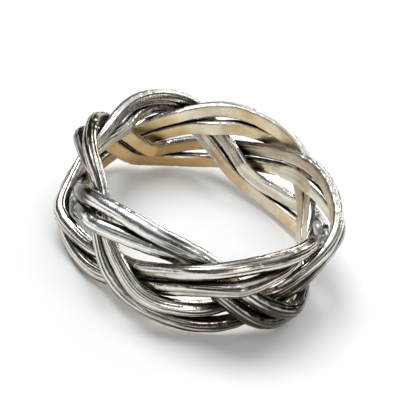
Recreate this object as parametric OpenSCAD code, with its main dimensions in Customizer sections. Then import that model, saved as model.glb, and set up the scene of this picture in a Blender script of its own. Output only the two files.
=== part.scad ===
// A finger ring made as a flat plait of three strands of silver wire, closed into a band.
// Each strand is a doubled wire. The ring lies on its side, with the finger hole's axis along Z,
// the surface that it rests on at Z = 0 and the front of the ring towards -Y.

/* [Band] */
// Radius of the middle of the plait
braid_r = 10.29; // [10.29:0.05:10.49]
// Radius of the mandrel that flattened the inside of the finger hole
hole_r = 9.12; // [9:0.02:9.12]
// Height of a strand's middle above the band's middle at a rim
lobe_h = 2.78; // [2.74:0.02:2.82]
// Share by which the lobes are flatter than a plain wave
lobe_flat = 0.05; // [0.04:0.01:0.07]
// How far the band is out of round
oval = 0.26; // [0:0.02:0.28]

/* [Weave] */
// Distance that a strand swings inwards and outwards as it passes under and over
weave = 0.79; // [0.78:0.01:0.82]
// Lead of the upper wire's swing over the lower wire's, in degrees of a lobe's wave
weave_lead = 14.5; // [14:0.5:15]
// Share of a third harmonic, which peaks the swing where strands cross
weave_peak = 0.1; // [0.08:0.02:0.1]
// Share of the swing by which a strand's two wires lean apart
weave_lean = 0.43; // [0.42:0.01:0.44]

/* [Wire] */
// Width of a wire, measured along the band
wire_w = 1.38; // [1.3:0.02:1.38]
// Distance between the middles of a strand's two wires
wire_pitch = 1.44; // [1.44:0.02:1.48]
// Height of a wire's rounded outer side above its middle
crown_h = 0.62; // [0.54:0.02:0.62]
// Depth of a wire's flat inner side below its middle
flat_h = 0.48; // [0.42:0.02:0.48]
// Share of its thickness that a wire loses between its lobes, where strands cross
squeeze = 0.23; // [0.23:0.02:0.29]

/* [Closing joint] */
// Width of the two domed wire ends that show where the plait is closed
end_w = 1.25; // [1.15:0.02:1.25]
// Thickness of a domed end
end_t = 0.72; // [0.6:0.02:0.72]
// Length of a domed end
end_len = 1.6; // [1.5:0.02:1.6]
// Length of the opening in strand C's upper wire that the ends lie in
joint_gap = 2.1; // [2.1:0.05:2.4]
// Share by which strand C's upper wire was filed down in front of the opening
filed = 0.55; // [0.4:0.05:0.6]

/* [Hidden] */

// A strand runs round the ring once, in a wave of four lobes, two on each rim
LOBES = 4;
LOBE_TURN = 180;
LOOP_TURN = LOBES * LOBE_TURN;
// Strands follow each other at a third of a wave's length
STRAND_SHIFT = 120;
// Turn of the first upper lobe of strand A from the front of the ring
FIRST_LOBE = -16;
// Direction in which the band is widest
OVAL_DIR = 24;
// The lobes crowd towards one side of the ring and spread out on the other
CROWDING = 8;
CROWDING_DIR = 42;

// How far each lobe of the hand-made plait lies from its even place
STRAND = 0;
LOBE = 1;
TURN = 2;
LIFT = 3;
PUSH = 4;
LOBE_TABLE = [
    // strand, lobe, turn in degrees, lift in mm, push outwards in mm
    [0, 0, 2, 0.05, 0.25],
    [0, 1, -5, -0.35, -0.15],
    [0, 2, 0, -0.1, 0.1],
    [0, 3, 8, -0.4, 0.25],
    [1, 0, -2, -0.15, 0],
    [1, 1, 0.5, 0.05, -0.05],
    [1, 2, 1.5, -0.15, 0],
    [1, 3, 4, -0.2, 0.2],
    [2, 0, 2, -0.15, -0.1],
    [2, 1, 5.5, 0.05, 0.05],
    [2, 2, 0, -0.05, -0.05],
    [2, 3, 0, 0, 0.05]
];

// Rings of points along a wire's loop, and points round its section
RINGS = 108;
SIDES = 12;
RING_STEP = LOOP_TURN / RINGS;
// Angle below a section's middle at which its flat side begins
FLAT_ANGLE = asin(flat_h / crown_h);
SIDE_STEP = (180 + 2 * FLAT_ANGLE) / (SIDES - 1);
// Turn either side of a point that gives the wire's direction there
SLOPE_STEP = 1;
SILVER = [0.8, 0.79, 0.77];

// The two ends lie side by side in the opening, where strand C dives under strand B's right lobe
JOINT_DIR = 95;
JOINT_R = 9.95;
JOINT_LIFT = 0.64;
JOINT_LEAN = 70;
END_TWIST = 25;
END_SPACING = 0.95;
END_STEP = 0.48;
END_SIDES = 12;
// Stretch of u over which the filed wire narrows, and a place within the opening
FILED_FROM = 33;
FILED_TO = 58;
FILED_PAST = 90;
// How far the filed wire's middle moves to its lower side and outwards, as shares of what it loses
FILED_DOWN = 0.8;
FILED_OUT = 0.5;

function total(list) = list * [for (value = list) 1];

// 1 at a lobe's middle, falling smoothly to 0 at the middles of its neighbours
function share_of_lobe(u, lobe) =
    let (off = (u - lobe * LOBE_TURN + 1.5 * LOOP_TURN) % LOOP_TURN - LOOP_TURN / 2)
    abs(off) < LOBE_TURN ? pow(cos(off / 2), 2) : 0;

function unevenness(strand, u, column) =
    total([for (row = LOBE_TABLE) if (row[STRAND] == strand) row[column] * share_of_lobe(u, row[LOBE])]);

// Direction round the ring, in degrees from the front towards +X, of a strand's middle
function strand_dir(strand, u) =
    let (even = FIRST_LOBE + (u + STRAND_SHIFT * strand) / 2 + unevenness(strand, u, TURN))
    even + CROWDING * sin(even - CROWDING_DIR);

function strand_height(strand, u) =
    lobe_h * (cos(u) - lobe_flat * cos(3 * u)) + unevenness(strand, u, LIFT);

// The band unrolled: distance along the band, and height
function unrolled(strand, u) =
    [strand_dir(strand, u) * PI / 180 * braid_r, strand_height(strand, u)];

function across(strand, u) =
    let (run = unrolled(strand, u + SLOPE_STEP) - unrolled(strand, u - SLOPE_STEP))
    [-run.y, run.x] / norm(run);

function weave_phase(side, u) = 2 * (u - side * weave_lead * sin(u));

// About -1 where a wire is outermost, over the other strands, and 1 where it is innermost
function swing(side, u) =
    sin(weave_phase(side, u)) - weave_peak * sin(3 * weave_phase(side, u)) - side * weave_lean * sin(u);

function wire_radius(strand, side, u) =
    braid_r
    - weave * swing(side, u)
    + oval * cos(2 * (strand_dir(strand, u) - OVAL_DIR))
    + unevenness(strand, u, PUSH);

function thickness_share(u) = 1 - squeeze * pow(sin(u), 2);

// Share of its size that a wire has lost at u. Only strand C's upper wire is filed down.
function loss(strand, side, u) =
    strand == 1 && side == 1 && u > FILED_FROM && u < FILED_PAST
    ? filed * pow(sin(90 * min(1, (u - FILED_FROM) / (FILED_TO - FILED_FROM))), 2)
    : 0;

// Point j of the section at u, with Z measured from the band's middle. The mandrel stops it at hole_r.
function wire_point(strand, side, u, j) =
    let (
        turn = j * SIDE_STEP - FLAT_ANGLE,
        lost = loss(strand, side, u),
        beside = wire_w / 2 * ((1 - lost) * cos(turn) - lost * FILED_DOWN),
        above = crown_h * thickness_share(u) * ((1 - lost) * sin(turn) + lost * FILED_OUT),
        flat_place = unrolled(strand, u) + across(strand, u) * (side * wire_pitch / 2 + beside),
        free_r = wire_radius(strand, side, u) + above,
        r = max(free_r, hole_r),
        dir = flat_place.x / braid_r * 180 / PI
    )
    [r * sin(dir), -r * cos(dir), flat_place.y];

function wire_points(strand, side) =
    [for (i = [0:RINGS - 1], j = [0:SIDES - 1]) wire_point(strand, side, i * RING_STEP, j)];

// The lowest point of the lower rim is the wire of one side, so the ring stands on it
REST_H = -min([for (strand = [0:2], side = [-1, 1], point = wire_points(strand, side)) point.z]);

WIRE_FACES = [
    for (i = [0:RINGS - 1], j = [0:SIDES - 1], half = [0, 1])
        let (
            next_i = (i + 1) % RINGS,
            next_j = (j + 1) % SIDES,
            a = i * SIDES + j,
            b = next_i * SIDES + j,
            c = next_i * SIDES + next_j,
            d = i * SIDES + next_j
        )
        half == 0 ? [a, b, c] : [a, c, d]
];

module wire(strand, side) {
    color(SILVER)
        translate([0, 0, REST_H])
            polyhedron(points = wire_points(strand, side), faces = WIRE_FACES);
}

// Places its children at the joint, r out from the axis, with Z along the leaning ends
module at_joint(r, lift) {
    rotate([0, 0, JOINT_DIR])
        translate([0, -r, REST_H + lift])
            rotate([0, -JOINT_LEAN, 0]) children();
}

// Side is 1 for the outer end and -1 for the inner one
module closing_end(side) {
    color(SILVER)
        at_joint(JOINT_R + side * END_SPACING / 2, JOINT_LIFT - side * END_STEP / 2)
            rotate([0, 0, END_TWIST])
                hull()
                    for (z = [-1, 1])
                        translate([0, 0, z * (end_len - end_w) / 2])
                            scale([1, end_t / end_w, 1]) sphere(d = end_w, $fn = END_SIDES);
}

module strand_a_upper_wire() { wire(0, 1); }
module strand_a_lower_wire() { wire(0, -1); }
module strand_b_upper_wire() { wire(2, 1); }
module strand_b_lower_wire() { wire(2, -1); }
module strand_c_upper_wire() {
    difference() {
        wire(1, 1);
        at_joint(JOINT_R, JOINT_LIFT) cube([2 * wire_w, 4 * crown_h, joint_gap], center = true);
    }
}
module strand_c_lower_wire() { wire(1, -1); }
module closing_end_inner() { closing_end(-1); }
module closing_end_outer() { closing_end(1); }

strand_a_upper_wire();
strand_a_lower_wire();
strand_b_upper_wire();
strand_b_lower_wire();
strand_c_upper_wire();
strand_c_lower_wire();
closing_end_inner();
closing_end_outer();
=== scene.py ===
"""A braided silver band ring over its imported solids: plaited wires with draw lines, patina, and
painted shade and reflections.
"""
import math

import bpy
import numpy as np
from mathutils import Matrix, Vector, kdtree


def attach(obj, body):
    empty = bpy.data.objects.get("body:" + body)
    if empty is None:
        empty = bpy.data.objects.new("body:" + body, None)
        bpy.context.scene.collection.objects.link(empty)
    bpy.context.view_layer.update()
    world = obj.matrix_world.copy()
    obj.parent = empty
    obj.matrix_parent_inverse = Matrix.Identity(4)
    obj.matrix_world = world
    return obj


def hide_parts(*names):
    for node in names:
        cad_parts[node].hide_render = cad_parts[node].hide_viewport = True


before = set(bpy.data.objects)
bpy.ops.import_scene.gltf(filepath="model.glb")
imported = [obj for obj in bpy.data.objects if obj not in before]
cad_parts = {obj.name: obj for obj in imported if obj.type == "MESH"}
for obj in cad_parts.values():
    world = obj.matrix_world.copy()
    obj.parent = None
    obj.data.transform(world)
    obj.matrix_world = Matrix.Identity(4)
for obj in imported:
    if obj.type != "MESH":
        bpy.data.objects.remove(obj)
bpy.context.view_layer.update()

MM = 0.001

# The band, in millimetres and degrees, as the solids have it
BRAID_R = 10.29
HOLE_R = 9.12
LOBE_H = 2.78
LOBE_FLAT = 0.05
OVAL = 0.26
OVAL_DIR = 24
FIRST_LOBE = -16
CROWDING = 8
CROWDING_DIR = 42

# The weave and the wire
WEAVE = 0.79
WEAVE_LEAD = 14.5
WEAVE_PEAK = 0.1
WEAVE_LEAN = 0.43
WIRE_W = 1.38
WIRE_PITCH = 1.44
CROWN_H = 0.62
FLAT_H = 0.48
SQUEEZE = 0.23

# A strand's loop is a wave of four lobes, and strands follow each other at a third of a wave
LOBE_TURN = 180
LOOP_TURN = 720
STRAND_SHIFT = 120
STRANDS = {"a": 0, "c": 1, "b": 2}
SIDES = {"upper": 1, "lower": -1}

# Each lobe of the hand-made plait: turn in degrees, lift in mm, push outwards in mm
TURN, LIFT, PUSH = range(3)
LOBES = {
    0: [(2, 0.05, 0.25), (-5, -0.35, -0.15), (0, -0.1, 0.1), (8, -0.4, 0.25)],
    1: [(-2, -0.15, 0), (0.5, 0.05, -0.05), (1.5, -0.15, 0), (4, -0.2, 0.2)],
    2: [(2, -0.15, -0.1), (5.5, 0.05, 0.05), (0, -0.05, -0.05), (0, 0, 0.05)],
}

# The closing joint
JOINT_DIR = 95
JOINT_R = 9.95
JOINT_LIFT = 0.64
JOINT_LEAN = 70
JOINT_GAP = 2.1
END_W = 1.25
END_T = 0.72
END_LEN = 1.6
END_TWIST = 25
END_SPACING = 0.95
END_STEP = 0.48
CLOSING_ENDS = {"closing_end_inner": -1, "closing_end_outer": 1}
CUT_WIRE = ("c", "upper")
# The cut wire was filed down in front of its opening: the share lost, and where along u
FILED = 0.55
FILED_FROM = 33
FILED_TO = 58
FILED_PAST = 90
FILED_DOWN = 0.8
FILED_OUT = 0.5

# Mesh fineness: rings along a wire's loop or a closing end, and points round a section
RINGS = 1100
POINTS = 66
END_RINGS = 64
END_POINTS = 48
# Share of a closing end's size that its dents take
END_DENT = 0.07
# Power of the section's width below its middle on each lobe. Below 1 it makes the inner flat wide.
FULLNESS = {0: (0.5, 0.5, 0.45, 0.5), 1: (0.5, 0.5, 0.9, 0.5), 2: (1, 0.7, 0.5, 0.8)}
# Rounding of a section's corners, and length of the dome at a cut wire's ends, in mm
CORNER = 0.06
DOME_LEN = 0.4

# Width of a wire as a share of the solid's, and how far hammering varies it
SWELL = 0.975
SWELL_RIPPLE = 0.016

# Draw lines: angles round a section, their width and the room that they wander in, in degrees,
# their depth in mm, and how plain they are on each lobe
DRAW_LINES = (-8, 22, 52, 80, 108, 136, 166)
LINE_WIDTH = 6
LINE_START = 7
LINE_WANDER = 8
LINE_DEPTH = 0.05
LINED = {0: (0.35, 0.8, 0.6, 0.7), 1: (0.8, 0.5, 1, 0.7), 2: (0.6, 0.5, 1, 0.8)}
# How satin the inside of each wire is on its lobes, and so how much painted warm reflection it
# takes, by strand and side
SATIN = {
    (0, 1): (1, 0.1, 1, 1), (0, -1): (1, 0.4, 1, 1),
    (1, 1): (1, 0.35, 0.25, 1), (1, -1): (1, 1, 0.25, 1),
    (2, 1): (0.65, 1, 1, 0.2), (2, -1): (0.55, 1, 1, 0),
}
# Share of the flat's depth at which the satin sets in, and how far that edge wanders
SATIN_EDGE = (0.8, 0.95)
SATIN_WANDER = 0.06
# Distance from the mandrel, in mm, within which a wire is satin too, and the softness of that edge
MANDREL_REACH = 0.06
MANDREL_EDGE = 0.04
# The one lobe whose inside was left round, as strand and lobe, with its lines' angles, their
# plainness and how much deeper than the others they look and are
ROUND_INSIDE = (1, 2)
INNER_LINES = (218, 240, 260, 282, 304)
INNER_LINED = 1.8
INNER_FADE = 0.3
INNER_DEPTH = 1.2
INNER_RELIEF = 1.5
# Painted shade: dark spots along the wires, on top of the painted shade of the low side
SHADE_SPOTS = [
    # strand, middle and half length of the spot along u, strength
    (0, -85, 20, 1.8),
    (0, -56, 9, 1.3),
    (0, 28, 18, 0.35),
    (0, 360, 60, 0.15),
    (2, 335, 40, 0.6),
    (2, 385, 60, 0.25),
    (1, 35, 30, 0.4),
    (1, 0, 70, 0.15),
    (2, 105, 25, 0.45),
    (1, 540, 60, 0.15),
]
# Painted light by lobe: how pale and cool each strand's silver is on its lobes: 0 is warm and grey
PALE = {0: (1, 0.3, 0.5, 0.5), 1: (0.1, 0.7, 0.8, 0.3), 2: (0.6, 0.4, 0.2, 0.2)}
# Directions, from the front towards +X, of the painted shade low outside and the painted gold
# reflection low inside
DEEP_SHADE_DIR = 58
GOLD_REFLECTION_DIR = -140
# Depth in mm of the hammering's dents, and how many waves of it lie along a loop
HAMMER_DEPTH = 0.03
HAMMER_WAVES = (14, 23, 31, 43, 58, 71)

# Colours of the silver, outside and inside
# Silver from warm grey to pale and cool, as the lobes' painted light sets
WARM_GREY = (0.76, 0.71, 0.64, 1)
PALE_SILVER = (0.88, 0.89, 0.88, 1)
# Dim silver for the painted dark reflection bands
DIM_GREY = (0.3, 0.28, 0.24, 1)
DIM_SILVER = (0.5, 0.51, 0.5, 1)
# Painted greenish reflection, in patches on the pale lobes
GREEN_REFLECTION = (0.76, 0.8, 0.69, 1)
# Painted warm reflection of the floor on the wires' lower sides
FLOOR_REFLECTION = (0.72, 0.56, 0.42, 1)
# Painted dark brown reflection in the painted shade of the low side
DEEP_SHADE_BROWN = (0.6, 0.48, 0.36, 1)
# Painted warm reflection on the satin inside
TAN_REFLECTION = (0.68, 0.52, 0.29, 1)
PALE_TAN_REFLECTION = (0.92, 0.81, 0.57, 1)
GOLD_REFLECTION = (0.52, 0.3, 0.1, 1)
SHEEN = (0.84, 0.83, 0.77, 1)
SPECK = (0.2, 0.15, 0.08, 1)
# Black of the patina in grooves and crevices, and of the painted shade
PATINA_AND_SHADE_BLACK = (0.038, 0.029, 0.019, 1)
MELTED_DARK = (0.48, 0.46, 0.45, 1)
MELTED_LIGHT = (0.86, 0.85, 0.84, 1)
MELTED_SHADE = (0.05, 0.04, 0.03, 1)
FLOOR = (0.93, 0.93, 0.92, 1)


def sin(degrees):
    return np.sin(np.radians(degrees))


def cos(degrees):
    return np.cos(np.radians(degrees))


def smooth_max(a, b, softness):
    """The larger of a and b, with the corner between them rounded over about softness."""
    return (a + b + np.sqrt((a - b) ** 2 + softness**2)) / 2


def smooth_step(x, low, high):
    """0 below low, 1 above high, and 3t^2 - 2t^3 of the way between them."""
    t = np.clip((x - low) / (high - low), 0, 1)
    return t * t * (3 - 2 * t)


def share_of_lobe(u, lobe):
    """cos^2 of half the turn from the lobe's middle: 1 there, 0 at its neighbours' middles."""
    off = (u - lobe * LOBE_TURN + 1.5 * LOOP_TURN) % LOOP_TURN - LOOP_TURN / 2
    return np.where(abs(off) < LOBE_TURN, cos(off / 2) ** 2, 0)


def over_lobes(u, values):
    """Runs smoothly from each lobe's value to the next."""
    return sum(value * share_of_lobe(u, lobe) for lobe, value in enumerate(values))


def unevenness(strand, u, column):
    return over_lobes(u, [row[column] for row in LOBES[strand]])


def strand_dir(strand, u):
    """Degrees from front towards +X: half the wave's turn, plus a sine that crowds the lobes."""
    even = FIRST_LOBE + (u + STRAND_SHIFT * strand) / 2 + unevenness(strand, u, TURN)
    return even + CROWDING * sin(even - CROWDING_DIR)


def unrolled(strand, u):
    """The band rolled out: distance along it, and height, a cosine less its third harmonic."""
    along = np.radians(strand_dir(strand, u)) * BRAID_R
    height = LOBE_H * (cos(u) - LOBE_FLAT * cos(3 * u)) + unevenness(strand, u, LIFT)
    return np.stack([along, height], -1)


def across(strand, u):
    """Unit vector square to the strand's run in the rolled-out band."""
    run = unrolled(strand, u + 1) - unrolled(strand, u - 1)
    return np.stack([-run[:, 1], run[:, 0]], -1) / np.linalg.norm(run, axis=1)[:, None]


def weave_phase(side, u):
    return 2 * (u - side * WEAVE_LEAD * sin(u))


def wire_radius(strand, side, u):
    """The braid's radius, less the swing under and over, plus the oval's cosine and each push."""
    phase = weave_phase(side, u)
    swing = sin(phase) - WEAVE_PEAK * sin(3 * phase) - side * WEAVE_LEAN * sin(u)
    oval = OVAL * cos(2 * (strand_dir(strand, u) - OVAL_DIR))
    return BRAID_R - WEAVE * swing + oval + unevenness(strand, u, PUSH)


def ripple(u, random, counts, amount):
    """A sum of sines that closes over the loop: whole numbers of waves, random phases and sizes."""
    total = np.zeros_like(u)
    for count in counts:
        wave = np.sin(np.radians(u / 2) * count + random.uniform(0, 2 * np.pi))
        total = total + wave * random.uniform(0.5, 1)
    return total * amount / math.sqrt(len(counts))


class Wire:
    """One wire as a grid of section points, with what its surface's finish needs at each point."""

    def __init__(self, strand, side, seed, opening=None):
        """The opening, if any, is the first and last u of a stretch left out of the loop."""
        self.strand = strand
        self.side = side
        self.random = np.random.RandomState(seed)
        self.angle = np.arange(POINTS) * 360 / POINTS
        self.closed = opening is None
        if self.closed:
            self.u = np.arange(RINGS) * LOOP_TURN / RINGS
            self.size = np.ones(RINGS)
        else:
            self.u = np.linspace(opening[1], opening[0] + LOOP_TURN, RINGS)
            self.size = self.domed_size()

    def middle(self):
        """The section's middle along the wire, with Z from the band's middle."""
        step = across(self.strand, self.u) * self.side * WIRE_PITCH / 2
        flat = unrolled(self.strand, self.u) + step
        r = wire_radius(self.strand, self.side, self.u)
        turn = flat[:, 0] / BRAID_R
        return np.stack([r * np.sin(turn), -r * np.cos(turn), flat[:, 1]], -1)

    def domed_size(self):
        """1 along the wire, and a quarter circle's fall to 0 over DOME_LEN at both ends."""
        steps = np.linalg.norm(np.diff(self.middle(), axis=0), axis=1)
        run = np.concatenate([[0], np.cumsum(steps)])
        to_end = np.minimum(run, run[-1] - run)
        return np.maximum(np.sqrt(1 - (1 - np.clip(to_end / DOME_LEN, 0, 1)) ** 2), 0.02)

    def groove(self, middle, strength):
        """A Gaussian groove along the wire. It wanders round the section, and comes and goes."""
        start = middle + self.random.uniform(-LINE_START, LINE_START)
        place = start + ripple(self.u, self.random, (1, 3, 5, 8), LINE_WANDER)
        depth = smooth_step(ripple(self.u, self.random, (2, 5, 9, 14), 0.5) + strength, 0.35, 1)
        width = LINE_WIDTH * self.random.uniform(0.7, 1.5)
        off = (self.angle[None] - place[:, None] + 180) % 360 - 180
        return depth[:, None] * np.exp(-((off / width) ** 2))

    def draw_lines(self):
        """The deepest of the grooves at each point."""
        lined = over_lobes(self.u, LINED[self.strand])
        grooves = [self.groove(middle, lined) for middle in DRAW_LINES]
        if self.strand == ROUND_INSIDE[0]:
            inner = INNER_LINED * share_of_lobe(self.u, ROUND_INSIDE[1]) - INNER_FADE
            grooves += [INNER_DEPTH * self.groove(middle, inner) for middle in INNER_LINES]
        return np.maximum.reduce(grooves)

    def hammering(self):
        """Dents: a sum of sines, with whole numbers of waves along the loop and round it."""
        total = np.zeros((len(self.u), POINTS))
        for count in HAMMER_WAVES:
            turns = self.random.randint(-2, 3)
            phase = np.radians(self.u / 2)[:, None] * count + np.radians(self.angle)[None] * turns
            total = total + np.sin(phase + self.random.uniform(0, 2 * np.pi))
        return np.clip(total / 3, 0, 1)

    def shade_spots(self):
        """A bell curve of painted shade along the wire for each spot, equally strong all round the
        section.
        """
        total = np.zeros(len(self.u))
        for strand, middle, half_length, strength in SHADE_SPOTS:
            if strand == self.strand:
                off = (self.u - middle + LOOP_TURN / 2) % LOOP_TURN - LOOP_TURN / 2
                total = total + strength * np.exp(-((off / half_length) ** 2))
        return total[:, None] * np.ones(POINTS)

    def loss(self):
        """Share of its size that the cut wire lost to filing: sin^2, rising up to its opening."""
        if self.closed:
            return np.zeros((len(self.u), 1))
        u = self.u % LOOP_TURN
        rise = sin(90 * np.clip((u - FILED_FROM) / (FILED_TO - FILED_FROM), 0, 1)) ** 2
        return (FILED * rise * (u < FILED_PAST))[:, None]

    def rounded_inside(self):
        """1 over the lobe whose inside isn't a satin flat, and 0 elsewhere."""
        if self.strand != ROUND_INSIDE[0]:
            return np.zeros((len(self.u), 1))
        return smooth_step(share_of_lobe(self.u, ROUND_INSIDE[1]), 0.15, 0.5)[:, None]

    def shape(self):
        """An ellipse, flat inside and kept off the mandrel, less lines, dents and filing."""
        self.lines = self.draw_lines()
        swell = SWELL + ripple(self.u, self.random, (6, 11, 17, 23), SWELL_RIPPLE)
        cut = LINE_DEPTH * self.lines + HAMMER_DEPTH * self.hammering()
        share = 1 - SQUEEZE * sin(self.u) ** 2
        flat = -FLAT_H * share[:, None]
        fuller = over_lobes(self.u, FULLNESS[self.strand])[:, None]
        power = np.where(sin(self.angle) < 0, fuller, 1)
        width = np.sign(cos(self.angle)) * abs(cos(self.angle)) ** power
        x = (WIRE_W / 2 * swell[:, None] - cut) * width
        y = smooth_max((CROWN_H * share[:, None] - cut) * sin(self.angle), flat, CORNER)
        rounded = self.rounded_inside()
        y = y + INNER_RELIEF * LINE_DEPTH * self.lines * rounded * (sin(self.angle) < -0.5)
        level = wire_radius(self.strand, self.side, self.u)[:, None]
        r = smooth_max(level + y, HOLE_R, CORNER / 2)
        uneven = SATIN_WANDER * ripple(self.u, self.random, (19, 34, 52, 75), 1)[:, None]
        by_tool = smooth_step(y / flat + uneven, *SATIN_EDGE)
        by_mandrel = smooth_step(HOLE_R + MANDREL_REACH - r, 0, MANDREL_EDGE)
        satin = over_lobes(self.u, SATIN[self.strand, self.side])[:, None]
        self.inside = np.clip(by_tool + by_mandrel, 0, 1) * satin
        lost = self.loss()
        x = x * (1 - lost) - WIRE_W / 2 * lost * FILED_DOWN
        y = y * (1 - lost) + CROWN_H * share[:, None] * lost * FILED_OUT
        r = smooth_max(level + y, HOLE_R, CORNER / 2)
        x = x * self.size[:, None]
        r = level + (r - level) * self.size[:, None]
        side_step = self.side * WIRE_PITCH / 2 + x[..., None]
        middle = unrolled(self.strand, self.u)[:, None]
        place = middle + across(self.strand, self.u)[:, None] * side_step
        turn = place[..., 0] / BRAID_R
        return np.stack([r * np.sin(turn), -r * np.cos(turn), place[..., 1]], -1)


def split(a, b, c, d):
    """Two triangles for each quad."""
    corners = [np.stack([a, c, b], -1), np.stack([a, d, c], -1)]
    return np.concatenate([t.reshape(-1, 3) for t in corners])


def loop_faces(rings, points):
    """Faces of a closed tube, whose last ring meets its first. Their normals point outwards."""
    i, j = np.meshgrid(np.arange(rings), np.arange(points), indexing="ij")
    next_i, next_j = (i + 1) % rings, (j + 1) % points
    this_ring, next_ring = i * points, next_i * points
    return split(this_ring + j, next_ring + j, next_ring + next_j, this_ring + next_j)


def domed_faces(rings, points):
    """Faces of an open tube whose two ends close on a pole each, the last two vertices."""
    i, j = np.meshgrid(np.arange(rings - 1), np.arange(points), indexing="ij")
    next_j = (j + 1) % points
    this_ring, next_ring = i * points, (i + 1) * points
    sides = split(this_ring + j, next_ring + j, next_ring + next_j, this_ring + next_j)
    k = np.arange(points)
    next_k = (k + 1) % points
    first, last = rings * points, rings * points + 1
    ends = (rings - 1) * points
    return np.concatenate([
        sides,
        np.stack([np.full(points, first), next_k, k], -1),
        np.stack([np.full(points, last), ends + k, ends + next_k], -1),
    ])


def with_poles(grid):
    """The grid's values as one row, with the means of its end rings added for the poles."""
    rows, points = grid.shape[:2]
    poles = [ring.reshape(points, -1).mean(0)[None] for ring in (grid[0], grid[-1])]
    return np.concatenate([grid.reshape(rows * points, -1), *poles])


def make_piece(name, vertices, faces, values):
    """A mesh object from arrays of points in mm, triangles, and named numbers for each point."""
    mesh = bpy.data.meshes.new(name)
    mesh.vertices.add(len(vertices))
    mesh.vertices.foreach_set("co", (vertices * MM).astype(np.float32).ravel())
    mesh.loops.add(faces.size)
    mesh.loops.foreach_set("vertex_index", faces.astype(np.int32).ravel())
    mesh.polygons.add(len(faces))
    mesh.polygons.foreach_set("loop_start", np.arange(0, faces.size, 3, dtype=np.int32))
    mesh.update(calc_edges=True)
    mesh.validate()
    for label, numbers in values.items():
        attribute = mesh.attributes.new(label, "FLOAT", "POINT")
        attribute.data.foreach_set("value", numbers.astype(np.float32).ravel())
    mesh.polygons.foreach_set("use_smooth", np.ones(len(faces), dtype=bool))
    piece = bpy.data.objects.new(name, mesh)
    bpy.context.scene.collection.objects.link(piece)
    return piece


def facing(grid):
    """Unit normals of a grid: the cross product of its steps round the section and along."""
    along = np.gradient(grid, axis=0)
    around = np.roll(grid, -1, 1) - np.roll(grid, 1, 1)
    normal = np.cross(around, along)
    return normal / np.linalg.norm(normal, axis=-1, keepdims=True)


def nearness(points_by_name, name, step=4):
    """Distance in mm to the nearest other piece, at every step-th point and linear between."""
    others = [p[::3, ::3].reshape(-1, 3) for n, p in points_by_name.items() if n != name]
    others = np.concatenate(others)
    tree = kdtree.KDTree(len(others))
    for index, point in enumerate(others):
        tree.insert(point, index)
    tree.balance()
    grid = points_by_name[name]
    coarse = grid[::step, ::step]
    found = np.array([tree.find(p)[2] for p in coarse.reshape(-1, 3)]).reshape(coarse.shape[:2])
    rows = np.arange(grid.shape[0]) / step
    columns = np.arange(grid.shape[1]) / step
    places = np.arange(len(found))
    by_row = np.stack([np.interp(rows, places, column) for column in found.T], -1)
    by_row = np.concatenate([by_row, by_row[:, :1]], 1)
    places = np.arange(by_row.shape[1])
    return np.stack([np.interp(columns, places, line) for line in by_row])


class Value:
    """A socket that carries a number over the surface. Arithmetic on it adds Math nodes."""

    def __init__(self, finish, socket):
        self.finish = finish
        self.socket = socket

    def maths(self, operation, *values):
        return self.finish.node("Math", {"operation": operation}, dict(enumerate(values)))

    def __add__(self, other):
        return self.maths("ADD", self, other)

    def __sub__(self, other):
        return self.maths("SUBTRACT", self, other)

    def __rsub__(self, other):
        return self.maths("SUBTRACT", other, self)

    def __mul__(self, other):
        return self.maths("MULTIPLY", self, other)

    def __pow__(self, power):
        return self.maths("POWER", self, power)

    __radd__ = __add__

    def between(self, low, high):
        """0 at low, 1 at high, smooth between."""
        settings = {"interpolation_type": "SMOOTHSTEP"}
        inputs = {"Value": self, "From Min": low, "From Max": high}
        return self.finish.node("MapRange", settings, inputs)

    def clamped(self):
        return self.finish.node("Clamp", {}, {"Value": self})


class Finish:
    """A material's nodes. node() adds any kind; its settings are set before its sockets."""

    def __init__(self, name):
        self.material = bpy.data.materials.new(name)
        self.material.use_nodes = True
        self.tree = self.material.node_tree
        self.shader = self.tree.nodes["Principled BSDF"]
        self.place = self.node("TexCoord", {}, {}, "Object")

    def node(self, kind, settings, inputs, output=0):
        made = self.tree.nodes.new("ShaderNode" + kind)
        for setting, value in settings.items():
            setattr(made, setting, value)
        for socket, value in inputs.items():
            self.feed(made.inputs[socket], value)
        return Value(self, made.outputs[output])

    def feed(self, socket, value):
        if isinstance(value, Value):
            self.tree.links.new(value.socket, socket)
        else:
            socket.default_value = value

    def mix(self, share, first, second):
        """Colour that runs from first to second as share runs from 0 to 1."""
        return self.node("Mix", {"data_type": "RGBA"}, {0: share, 6: first, 7: second}, 2)

    def noise(self, scale, detail):
        return self.node("TexNoise", {}, {"Vector": self.place, "Scale": scale, "Detail": detail})

    def attribute(self, name):
        return self.node("Attribute", {"attribute_name": name}, {}, "Fac")

    def bump(self, height, strength, distance):
        inputs = {"Strength": strength, "Distance": distance, "Height": height}
        self.feed(self.shader.inputs["Normal"], self.node("Bump", {}, inputs, "Normal"))


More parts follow.
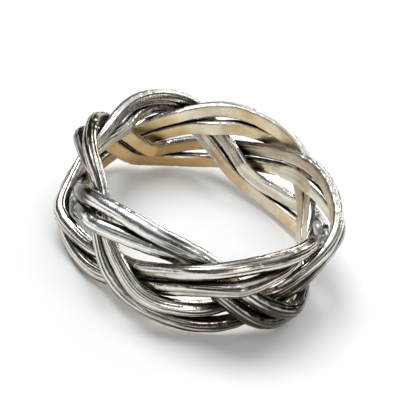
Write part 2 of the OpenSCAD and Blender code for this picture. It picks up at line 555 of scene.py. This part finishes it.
def silver_finish():
    """Polished silver, black with patina in its grooves, with painted shade below and painted
    reflections, satin inside.
    """
    f = Finish("silver")
    near = f.attribute("near")
    lines = f.attribute("lines")
    inside = f.attribute("inside")
    reflection_band = f.attribute("reflection_band")
    under = f.attribute("under")
    deep_shade = f.attribute("deep_shade")
    reflected_gold = f.attribute("reflected_gold")
    pale = f.attribute("pale")
    patches = f.noise(600, 4)
    fine = f.noise(4500, 3)
    specks = f.noise(9000, 2).between(0.58, 0.72)
    sheen = f.noise(350, 3).between(0.45, 0.7)
    # Crevices where wires meet: black patina, and painted shade
    crevice = (1 - near.between(0.02, 0.75)) ** 1.6
    shade = under * (0.35 + reflection_band * 0.8) * (1 - inside)
    # Painted shade on the low right side and at the shade spots, broken by the painted reflection
    # bands
    darkening = deep_shade * (0.6 + reflection_band.between(0.25, 0.6) * 0.9)
    # Black: patina in crevices and draw lines, painted shade below and on the low side, and random
    # tone
    patina_and_shade = crevice * (0.95 - inside * 0.35) + lines * 0.6 + shade * 0.75
    black = (patina_and_shade + darkening + (patches - 0.45) * 0.6).between(0.2, 1.05)
    # Painted light: paler, cooler silver on the lobes that stand in brighter light
    light = f.mix(pale, WARM_GREY, PALE_SILVER)
    dim = f.mix(pale, DIM_GREY, DIM_SILVER)
    # Painted reflection bands: dim silver between the bright ones
    bright = f.mix(reflection_band.between(0.35, 0.8), light, dim)
    # Painted greenish reflection in patches
    bright = f.mix(f.noise(300, 2).between(0.4, 0.6) * pale * 0.4, bright, GREEN_REFLECTION)
    # Painted floor reflection on the lower sides
    bright = f.mix(under * 0.75, bright, FLOOR_REFLECTION)
    # Painted brown reflection where the low side lies in painted shade
    bright = f.mix(deep_shade.clamped() * 0.4, bright, DEEP_SHADE_BROWN)
    # Painted warm reflection on the satin inside, gold low down
    warm = f.mix(patches.between(0.3, 0.7), TAN_REFLECTION, PALE_TAN_REFLECTION)
    warm = f.mix(reflected_gold * 0.8, warm, GOLD_REFLECTION)
    warm = f.mix(sheen * 0.55 * (1 - reflected_gold), warm, SHEEN)
    warm = f.mix(specks * 0.45, warm, SPECK)
    colour = f.mix(black * 0.96, f.mix(inside, bright, warm), PATINA_AND_SHADE_BLACK)
    roughness = 0.24 + inside * 0.12 + (fine - 0.5) * 0.2 - deep_shade.clamped() * 0.08
    f.feed(f.shader.inputs["Base Color"], colour)
    f.feed(f.shader.inputs["Metallic"], 1.0)
    f.feed(f.shader.inputs["Roughness"], roughness)
    f.bump(fine * 0.3 + patches * 0.7, 0.4, 0.12 * MM)
    return f.material


def solder_finish():
    """The dull, pale skin of silver that a torch has melted, with painted shade where it meets the
    wires.
    """
    f = Finish("melted_silver")
    # Painted shade where the closing end meets the wires
    crevice = 1 - f.attribute("near").between(0.05, 0.3)
    patches = f.noise(1800, 4)
    colour = f.mix(patches, MELTED_DARK, MELTED_LIGHT)
    f.feed(f.shader.inputs["Base Color"], f.mix(crevice * 0.85, colour, MELTED_SHADE))
    f.feed(f.shader.inputs["Metallic"], 0.85)
    f.feed(f.shader.inputs["Roughness"], 0.42)
    f.bump(patches, 0.5, 0.1 * MM)
    return f.material


silver = silver_finish()
melted_silver = solder_finish()


def rotation(axis, degrees):
    return np.array(Matrix.Rotation(math.radians(degrees), 3, axis))


def from_joint(points, r, lift):
    """Points in the leaning joint's own axes, turned and moved to r and lift on the band."""
    leaning = points @ rotation("Y", -JOINT_LEAN).T + [0, -r, lift]
    return leaning @ rotation("Z", JOINT_DIR).T


def to_joint(points):
    """The same turned back, for points on the band."""
    upright = points @ rotation("Z", JOINT_DIR) - [0, -JOINT_R, JOINT_LIFT]
    return upright @ rotation("Y", -JOINT_LEAN)


def opening_in(wire):
    """First and last u of the stretch of a wire that the joint's opening takes away."""
    x, y, z = abs(to_joint(wire.middle())).T
    inside = (x < WIRE_W) & (y < 2 * CROWN_H) & (z < JOINT_GAP / 2)
    return wire.u[inside].min(), wire.u[inside].max()


def closing_end(side, seed):
    """A flattened capsule: an ellipse that shrinks as a quarter circle to the pole at both ends."""
    random = np.random.RandomState(seed)
    height = END_LEN / 2 * sin(np.linspace(-89, 89, END_RINGS))
    past = np.clip((abs(height) - (END_LEN - END_W) / 2) / (END_W / 2), 0, 1)
    size = np.sqrt(1 - past**2)[:, None]
    around = np.arange(END_POINTS) * 360 / END_POINTS
    dents = sin(around * 3 + random.uniform(0, 360)) * cos(height * 200)[:, None]
    dented = 1 - END_DENT * np.clip(dents, 0, 1)
    x = END_W / 2 * size * dented * cos(around)
    y = END_T / 2 * size * dented * sin(around)
    grid = np.stack([x, y, height[:, None] + 0 * x], -1)
    turned = grid.reshape(-1, 3) @ rotation("Z", END_TWIST).T
    r = JOINT_R + side * END_SPACING / 2
    lift = JOINT_LIFT - side * END_STEP / 2
    return from_joint(turned, r, lift).reshape(grid.shape)


def reflection_bands(random, u, angle):
    """Painted reflection bands along a wire: sines round the section whose phases ripple along the
    loop.
    """
    total = np.zeros((len(u), len(angle)))
    for count in (3, 6, 10, 15):
        drift = ripple(u, random, (2, 5, 9, 15), 1.6)
        size = 0.7 + 0.3 * ripple(u, random, (7, 13, 20), 1)
        total = total + size[:, None] * np.sin(np.radians(angle)[None] * count + drift[:, None])
    return np.clip(0.5 + total / 4, 0, 1)


def towards(grid, direction):
    """Cosine of the turn between each point's direction from the axis and the one given."""
    return cos(np.degrees(np.arctan2(grid[..., 0], -grid[..., 1])) - direction)


def deep_shade(grid, normals):
    """Painted shade on the ring's low right side, from 0 to 1: by direction, height and how far it
    faces out.
    """
    beside = smooth_step(towards(grid, DEEP_SHADE_DIR), 0.45, 0.95)
    low = smooth_step(-grid[..., 2], -7.5, -2)
    flat = grid[..., :2]
    outward = (flat * normals[..., :2]).sum(-1) / np.linalg.norm(flat, axis=-1)
    return beside * low * smooth_step(outward, -0.3, 0.5)


def reflected_gold_share(grid):
    """Painted gold reflection on the ring's low inside, from 0 to 1: by direction and height."""
    return smooth_step(towards(grid, GOLD_REFLECTION_DIR), 0.1, 0.9) * smooth_step(-grid[..., 2], -6.5, -3)


def dress(node, grid, closed, material, values):
    """A piece that stands for a node, from a grid of points and of its finish's numbers."""
    normals = facing(grid)
    values["near"] = nearness(grids, node)
    # Lower sides: painted shade, and a painted floor reflection
    values["under"] = smooth_step(-normals[..., 2], -0.15, 0.55)
    # Painted shade: the low right side, plus the dark spots along the wire
    values["deep_shade"] = deep_shade(grid, normals) + values.pop("shade_spots", 0)
    # Painted gold reflection on the low inside
    values["reflected_gold"] = reflected_gold_share(grid)
    rows, points = grid.shape[:2]
    if closed:
        vertices = grid.reshape(-1, 3)
        faces = loop_faces(rows, points)
    else:
        vertices = with_poles(grid)
        faces = domed_faces(rows, points)
        values = {label: with_poles(numbers[..., None]) for label, numbers in values.items()}
    piece = make_piece("silver_" + node, vertices, faces, values)
    piece.data.materials.append(material)
    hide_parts(node)
    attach(piece, "root")


wires = {}
grids = {}
for strand_name, strand in STRANDS.items():
    for side_name, side in SIDES.items():
        seed = 10 * strand + side + 5
        wire = Wire(strand, side, seed)
        if (strand_name, side_name) == CUT_WIRE:
            wire = Wire(strand, side, seed, opening_in(wire))
        node = f"strand_{strand_name}_{side_name}_wire"
        wires[node] = wire
        grids[node] = wire.shape()

rest_h = -min(grid[..., 2].min() for grid in grids.values())
for end_name, side in CLOSING_ENDS.items():
    grids[end_name] = closing_end(side, seed=40 + side)
grids = {node: grid + [0, 0, rest_h] for node, grid in grids.items()}

for node, wire in wires.items():
    # Painted shade spots along each wire, with its grooves and satin inside
    values = {"lines": wire.lines, "inside": wire.inside, "shade_spots": wire.shade_spots()}
    # Painted light of each lobe
    values["pale"] = over_lobes(wire.u, PALE[wire.strand])[:, None] * np.ones(POINTS)
    # Painted reflection bands round each wire
    values["reflection_band"] = reflection_bands(wire.random, wire.u, wire.angle)
    dress(node, grids[node], wire.closed, silver, values)
for node in CLOSING_ENDS:
    dress(node, grids[node], False, melted_silver, {})

# The camera, from where the ring's outline lies in a picture of 400 by 400 pixels
PICTURE = 400
CAMERA_DIST = 104.25
CAMERA_HEIGHT_DIR = 35.22
CAMERA_ROLL = -18.84
FOCAL_PIXELS = 1294.2
CENTRE_PIXEL = (202.02, 204.86)
SENSOR = 36

# The studio, in metres and watts: a floor, three soft panels, and a room bright overhead
FLOOR_HALF = 1.5
LIT_POINT = (0, 0, 0.005)
LIGHTS = [
    # name, place, size, power, colour
    ("key", (-0.2, 0.05, 0.4), (0.25, 0.25), 1.4, (0.95, 0.98, 1)),
    ("fill", (0.3, -0.35, 0.3), (0.1, 0.3), 0.5, (1, 0.96, 0.9)),
    ("back", (0.15, 0.4, 0.25), (0.4, 0.08), 0.8, (1, 0.98, 0.95)),
]
ROOM_STRENGTH = 1.08
ROOM_BELOW = (0.12, 0.11, 0.1, 1)
ROOM_OVERHEAD = (0.7, 0.76, 0.82, 1)
# Greys between, by the height of the direction from straight down at 0 to straight up at 1
ROOM_TONES = ((0.3, 0.03), (0.45, 0.2), (0.62, 0.25), (0.8, 0.65))


def make_camera():
    data = bpy.data.cameras.new("camera")
    data.sensor_width = SENSOR
    data.lens = FOCAL_PIXELS / PICTURE * SENSOR
    data.shift_x = (PICTURE / 2 - CENTRE_PIXEL[0]) / PICTURE
    data.shift_y = (CENTRE_PIXEL[1] - PICTURE / 2) / PICTURE
    data.clip_start = 0.005
    camera = bpy.data.objects.new("camera", data)
    bpy.context.scene.collection.objects.link(camera)
    lean, roll = math.radians(CAMERA_HEIGHT_DIR), math.radians(CAMERA_ROLL)
    ahead = Vector((0, math.cos(lean), -math.sin(lean)))
    up = Vector((0, math.sin(lean), math.cos(lean)))
    right = Vector((1, 0, 0))
    x_axis = math.cos(roll) * right - math.sin(roll) * up
    y_axis = math.sin(roll) * right + math.cos(roll) * up
    turn = Matrix((x_axis, y_axis, -ahead)).transposed().to_4x4()
    place = Vector((0, 0, rest_h * MM)) - ahead * CAMERA_DIST * MM
    camera.matrix_world = Matrix.Translation(place) @ turn
    bpy.context.scene.camera = camera


def make_floor():
    mesh = bpy.data.meshes.new("floor")
    corners = [(x * FLOOR_HALF, y * FLOOR_HALF, 0) for x, y in ((-1, -1), (1, -1), (1, 1), (-1, 1))]
    mesh.from_pydata(corners, [], [(0, 1, 2, 3)])
    floor = bpy.data.objects.new("floor", mesh)
    bpy.context.scene.collection.objects.link(floor)
    finish = Finish("floor")
    finish.feed(finish.shader.inputs["Base Color"], FLOOR)
    finish.feed(finish.shader.inputs["Roughness"], 0.9)
    floor.data.materials.append(finish.material)


def add_light(name, place, size, power, colour):
    data = bpy.data.lights.new(name, "AREA")
    data.shape = "RECTANGLE"
    data.size, data.size_y = size
    data.energy = power
    data.color = colour
    light = bpy.data.objects.new(name, data)
    light.location = place
    aim = Vector(LIT_POINT) - Vector(place)
    light.rotation_euler = aim.to_track_quat("-Z", "Y").to_euler()
    bpy.context.scene.collection.objects.link(light)


def make_room():
    """The world: a ramp of tones over the height of each direction."""
    world = bpy.data.worlds.new("studio")
    world.use_nodes = True
    tree = world.node_tree
    direction = tree.nodes.new("ShaderNodeTexCoord")
    height = tree.nodes.new("ShaderNodeSeparateXYZ")
    ramp = tree.nodes.new("ShaderNodeValToRGB")
    tree.links.new(direction.outputs["Generated"], height.inputs[0])
    tree.links.new(height.outputs["Z"], ramp.inputs[0])
    stops = ramp.color_ramp.elements
    for place, tone in ROOM_TONES:
        stops.new(place).color = (tone, tone, tone, 1)
    stops[0].color = ROOM_BELOW
    stops[-1].color = ROOM_OVERHEAD
    tree.links.new(ramp.outputs[0], tree.nodes["Background"].inputs["Color"])
    tree.nodes["Background"].inputs["Strength"].default_value = ROOM_STRENGTH
    bpy.context.scene.world = world
    bpy.context.scene.view_settings.view_transform = "Standard"


make_camera()
make_floor()
for row in LIGHTS:
    add_light(*row)
make_room()
